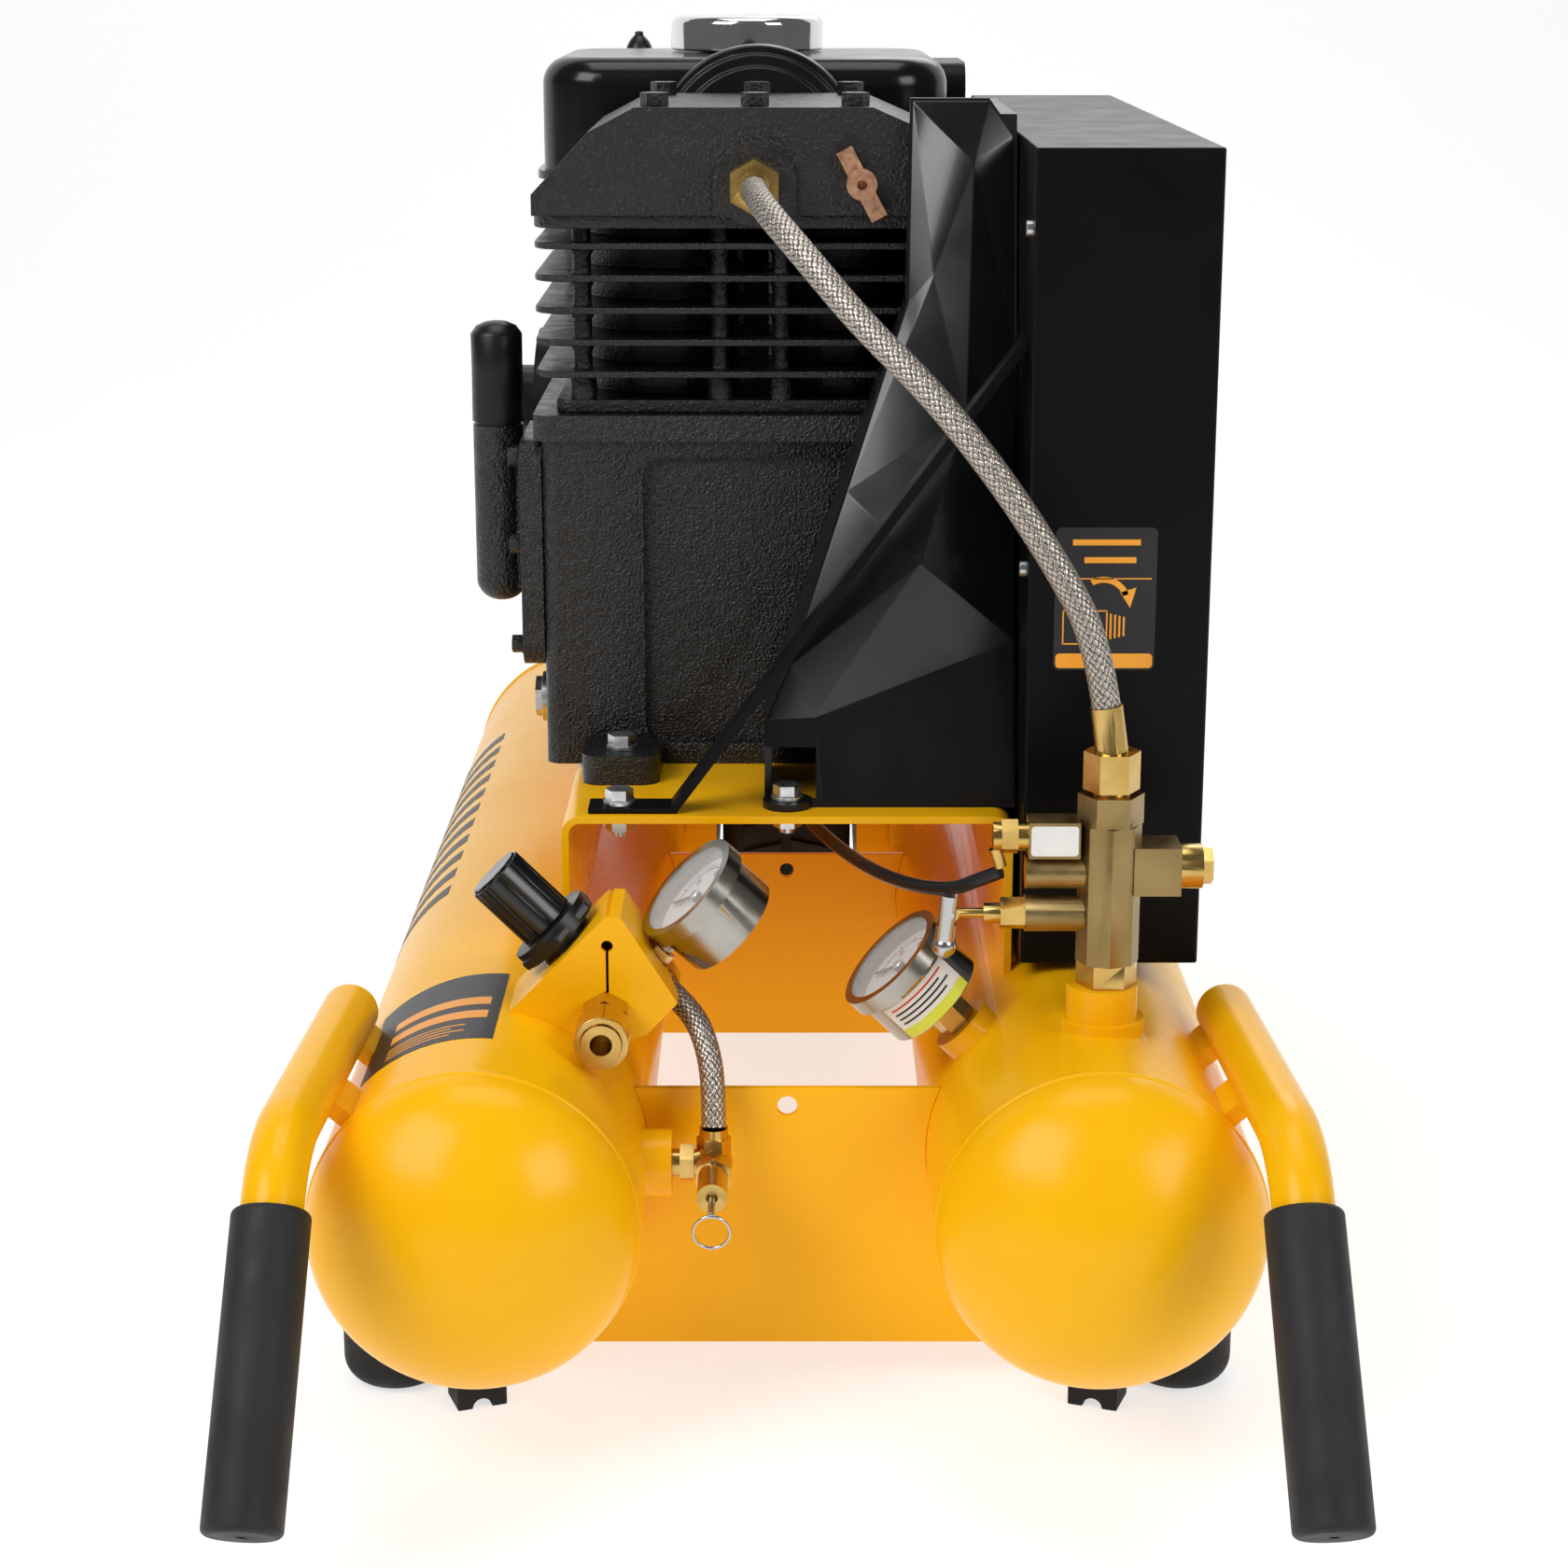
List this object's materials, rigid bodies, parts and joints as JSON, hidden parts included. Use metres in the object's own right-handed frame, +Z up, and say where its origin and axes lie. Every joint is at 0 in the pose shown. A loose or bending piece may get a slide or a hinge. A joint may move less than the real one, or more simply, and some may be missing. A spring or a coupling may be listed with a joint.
{
  "type": "portable twin tank air compressor",
  "caption": "Wheelbarrow air compressor: side-by-side tanks, belt-driven finned pump and petrol engine on a deck, lift handles, one wheel, gauges, regulator and quick coupler.",
  "frame": {"origin": "on the ground below the centre of the machine's box", "axes": "+X to the operator's right (belt guard side), +Y away from the handles towards the wheel, +Z up"},
  "size_m": [0.5102, 1.1426, 0.682],
  "materials": {
    "yellow_paint": "gloss yellow paint",
    "black_casting": "rough black painted casting",
    "black_sheet": "satin black powder coat",
    "black_plastic": "satin black moulded plastic",
    "grip_rubber": "matt dark grey rubber",
    "foot_rubber": "matt black rubber",
    "tyre_rubber": "matt black tyre rubber",
    "zinc_steel": "bright zinc plate",
    "machined_steel": "machined steel",
    "chrome": "polished chrome",
    "brass": "bright turned brass",
    "stainless": "polished stainless steel",
    "braid": "woven stainless braid",
    "aluminium": "cast and machined aluminium",
    "belt_rubber": "black V-belt rubber",
    "dial_white": "white printed dial",
    "lens": "clear polycarbonate window",
    "needle_black": "black pointer",
    "rim_steel": "silver painted pressed steel"
  },
  "bodies": {
    "frame": {"tank_left": "yellow_paint", "tank_right": "yellow_paint", "deck": "yellow_paint", "cross_plates": "yellow_paint", "wheel_brackets": "yellow_paint", "handle_tubes": "yellow_paint", "regulator_bracket": "yellow_paint", "handle_grips": "grip_rubber", "rubber_feet": "foot_rubber", "axle": "zinc_steel", "bolts": "zinc_steel", "crossover_pipe": "machined_steel", "pump_crankcase": "black_casting", "pump_end_cover": "black_casting", "oil_sight_glass": "zinc_steel", "pump_cylinders": "black_casting", "pump_head": "black_casting", "pistons_and_rods": "aluminium", "pump_bearings": "machined_steel", "intake_filter": "black_plastic", "drive_belt": "belt_rubber", "belt_guard": "black_sheet", "air_shroud": "black_plastic", "guard_strut": "black_sheet", "engine_block": "black_casting", "recoil_housing": "black_sheet", "recoil_handle": "black_plastic", "fuel_tank": "black_sheet", "air_cleaner": "black_plastic", "muffler": "black_sheet", "carburettor": "aluminium", "unloader_valve": "brass", "regulator_body": "black_plastic", "brass_fittings": "brass", "gauge_cases": "stainless", "gauge_dials": "dial_white", "gauge_lenses": "lens", "discharge_hose": "braid", "regulator_hose": "braid", "pilot_tube": "black_plastic"},
    "wheel": {"wheel_rim": "rim_steel", "wheel_tyre": "tyre_rubber", "wheel_bearings": "machined_steel"},
    "pump_drive": {"pump_crankshaft": "machined_steel", "pump_flywheel": "black_casting"},
    "engine_drive": {"engine_crankshaft": "machined_steel", "engine_pulley": "machined_steel"},
    "breather_cap": {"oil_breather_cap": "black_plastic"},
    "head_wing": {"head_wing_valve": "brass"},
    "filler_cap": {"fuel_cap": "chrome"},
    "cleaner_knob": {"air_cleaner_knob": "black_plastic"},
    "throttle": {"throttle_lever": "zinc_steel"},
    "unloader": {"unloader_lever": "stainless"},
    "regulator_dial": {"regulator_knob": "black_plastic"},
    "sleeve": {"coupler_sleeve": "brass"},
    "outlet_needle": {"needle_outlet": "needle_black"},
    "tank_needle": {"needle_tank": "needle_black"},
    "safety_pull": {"safety_ring": "stainless"},
    "drain_left": {"drain_key_left": "brass"},
    "drain_right": {"drain_key_right": "brass"}
  },
  "joints": [
    {"name": "wheel_spin", "type": "hinge", "parent": "frame", "child": "wheel", "pos_m": [0, 0.444, 0.1275], "axis": [1, 0, 0], "continuous": true},
    {"name": "pump_crank_spin", "type": "hinge", "parent": "frame", "child": "pump_drive", "pos_m": [0, -0.036, 0.385], "axis": [1, 0, 0], "continuous": true},
    {"name": "engine_crank_spin", "type": "hinge", "parent": "frame", "child": "engine_drive", "pos_m": [0, 0.244, 0.393], "axis": [1, 0, 0], "continuous": true},
    {"name": "breather_cap_turn", "type": "hinge", "parent": "frame", "child": "breather_cap", "pos_m": [-0.16, -0.061, 0.5], "axis": [0, 0, 1], "range_deg": [0, 720]},
    {"name": "head_wing_turn", "type": "hinge", "parent": "frame", "child": "head_wing", "pos_m": [0.039, -0.125, 0.604], "axis": [0, 1, 0], "range_deg": [0, 90]},
    {"name": "fuel_cap_turn", "type": "hinge", "parent": "frame", "child": "filler_cap", "pos_m": [-0.025, 0.245, 0.672], "axis": [0, 0, 1], "range_deg": [0, 90]},
    {"name": "air_cleaner_knob_turn", "type": "hinge", "parent": "frame", "child": "cleaner_knob", "pos_m": [-0.1, 0.389, 0.66], "axis": [0, 0, 1], "range_deg": [0, 1080]},
    {"name": "throttle_turn", "type": "hinge", "parent": "frame", "child": "throttle", "pos_m": [-0.115, 0.334, 0.51], "axis": [0, 0, 1], "range_deg": [0, 35]},
    {"name": "unloader_toggle", "type": "hinge", "parent": "frame", "child": "unloader", "pos_m": [0.08, -0.321, 0.267], "axis": [0, 1, 0], "range_deg": [0, 90]},
    {"name": "regulator_knob_turn", "type": "hinge", "parent": "frame", "child": "regulator_dial", "pos_m": [-0.13, -0.271, 0.254], "axis": [-0.7071, 0, 0.7071], "range_deg": [-720, 720]},
    {"name": "coupler_sleeve_slide", "type": "slide", "parent": "frame", "child": "sleeve", "axis": [0, 1, 0], "range_m": [0, 0.004], "stiffness_N_per_m": 800},
    {"name": "outlet_needle_sweep", "type": "hinge", "parent": "frame", "child": "outlet_needle", "pos_m": [-0.0514, -0.273, 0.2653], "axis": [0.7018, 0.1704, -0.6917], "range_deg": [0, 270]},
    {"name": "tank_needle_sweep", "type": "hinge", "parent": "frame", "child": "tank_needle", "pos_m": [0.0495, -0.274, 0.227], "axis": [0.7043, 0.0897, -0.7043], "range_deg": [0, 270]},
    {"name": "safety_ring_pull", "type": "slide", "parent": "frame", "child": "safety_pull", "axis": [0, -1, 0], "range_m": [0, 0.003], "stiffness_N_per_m": 800},
    {"name": "drain_left_turn", "type": "hinge", "parent": "frame", "child": "drain_left", "pos_m": [-0.151, -0.04, 0.024], "axis": [0, 0, 1], "range_deg": [0, 540]},
    {"name": "drain_right_turn", "type": "hinge", "parent": "frame", "child": "drain_right", "pos_m": [0.151, -0.04, 0.024], "axis": [0, 0, 1], "range_deg": [0, 540]}
  ],
  "couplings": [
    {"joint": "engine_crank_spin", "follows": "pump_crank_spin", "ratio": 3.5}
  ]
}
